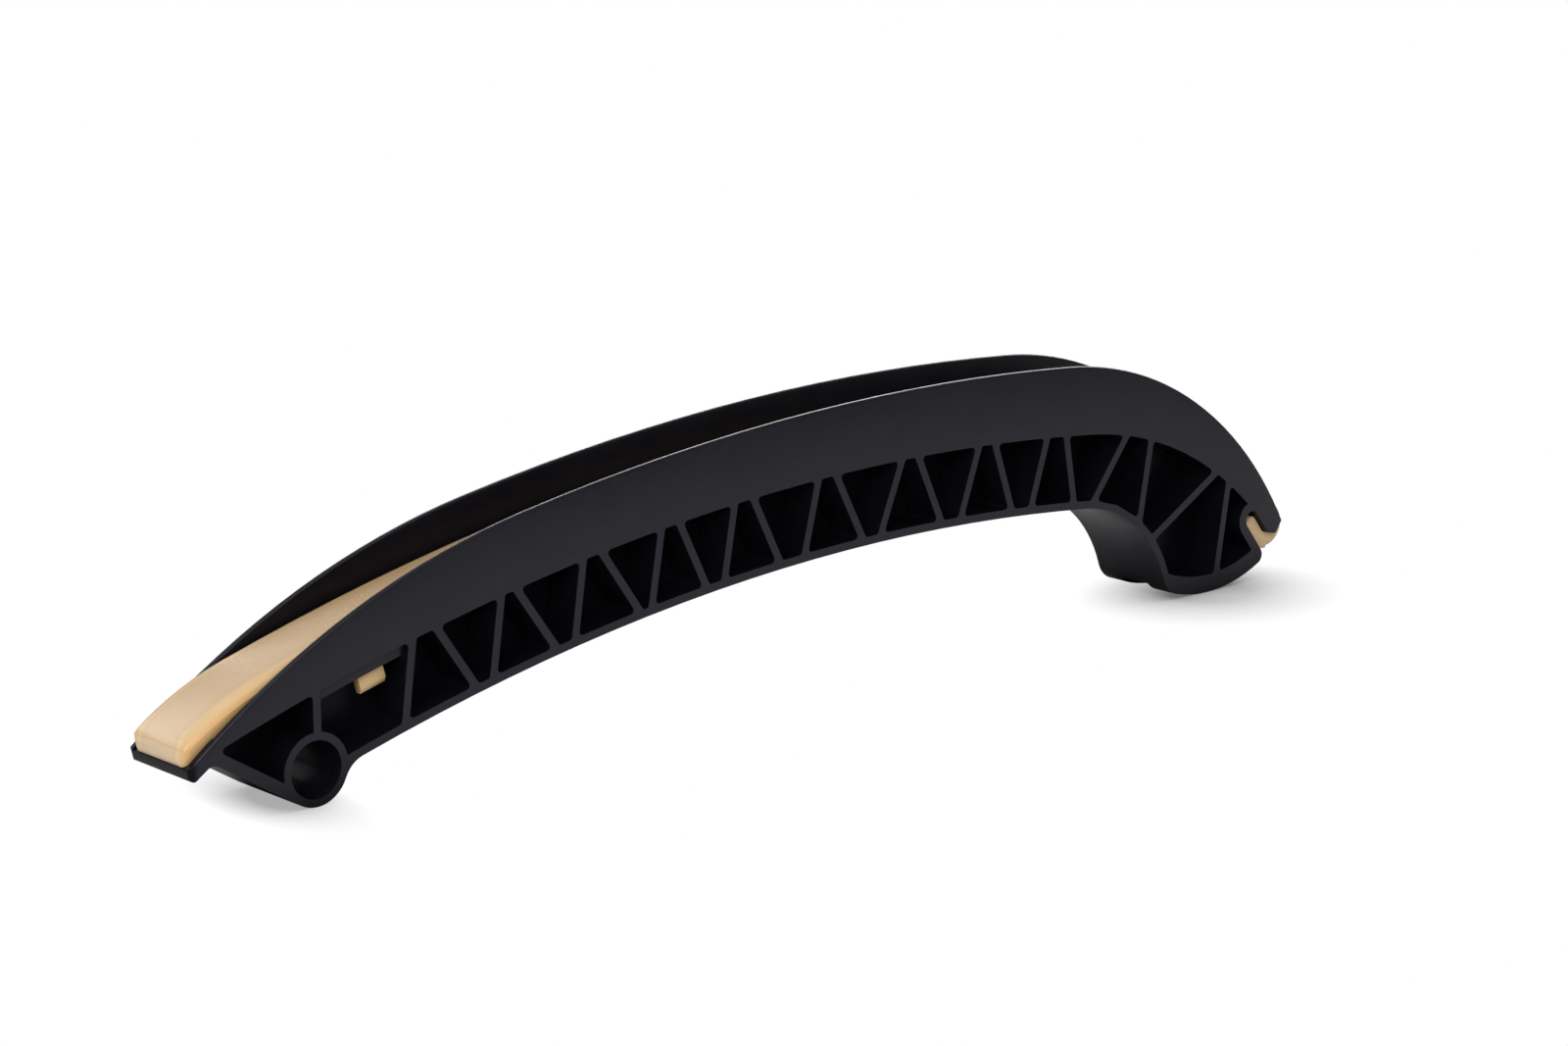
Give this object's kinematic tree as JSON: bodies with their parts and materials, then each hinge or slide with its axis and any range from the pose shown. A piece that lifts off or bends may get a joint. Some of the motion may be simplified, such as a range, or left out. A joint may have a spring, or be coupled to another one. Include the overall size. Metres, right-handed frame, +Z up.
{
  "type": "timing chain guide",
  "caption": "Arched timing chain guide: a ribbed black carrier that swings about a bored boss, with a cream slide shoe clipped into its flanged channel for the chain to run on.",
  "frame": {"origin": "middle of the pivot bore, on its axis and on the mid plane between the two side faces", "axes": "+X from the pivot towards the foot, +Y along the pivot bore, +Z up from the ground that boss and foot stand on"},
  "size_m": [0.2959, 0.02, 0.0582],
  "materials": {
    "carrier": "satin black glass-filled nylon",
    "slide_shoe": "satin cream unfilled nylon"
  },
  "bodies": {
    "root": {"carrier": "carrier", "slide_shoe": "slide_shoe"}
  },
  "joints": []
}
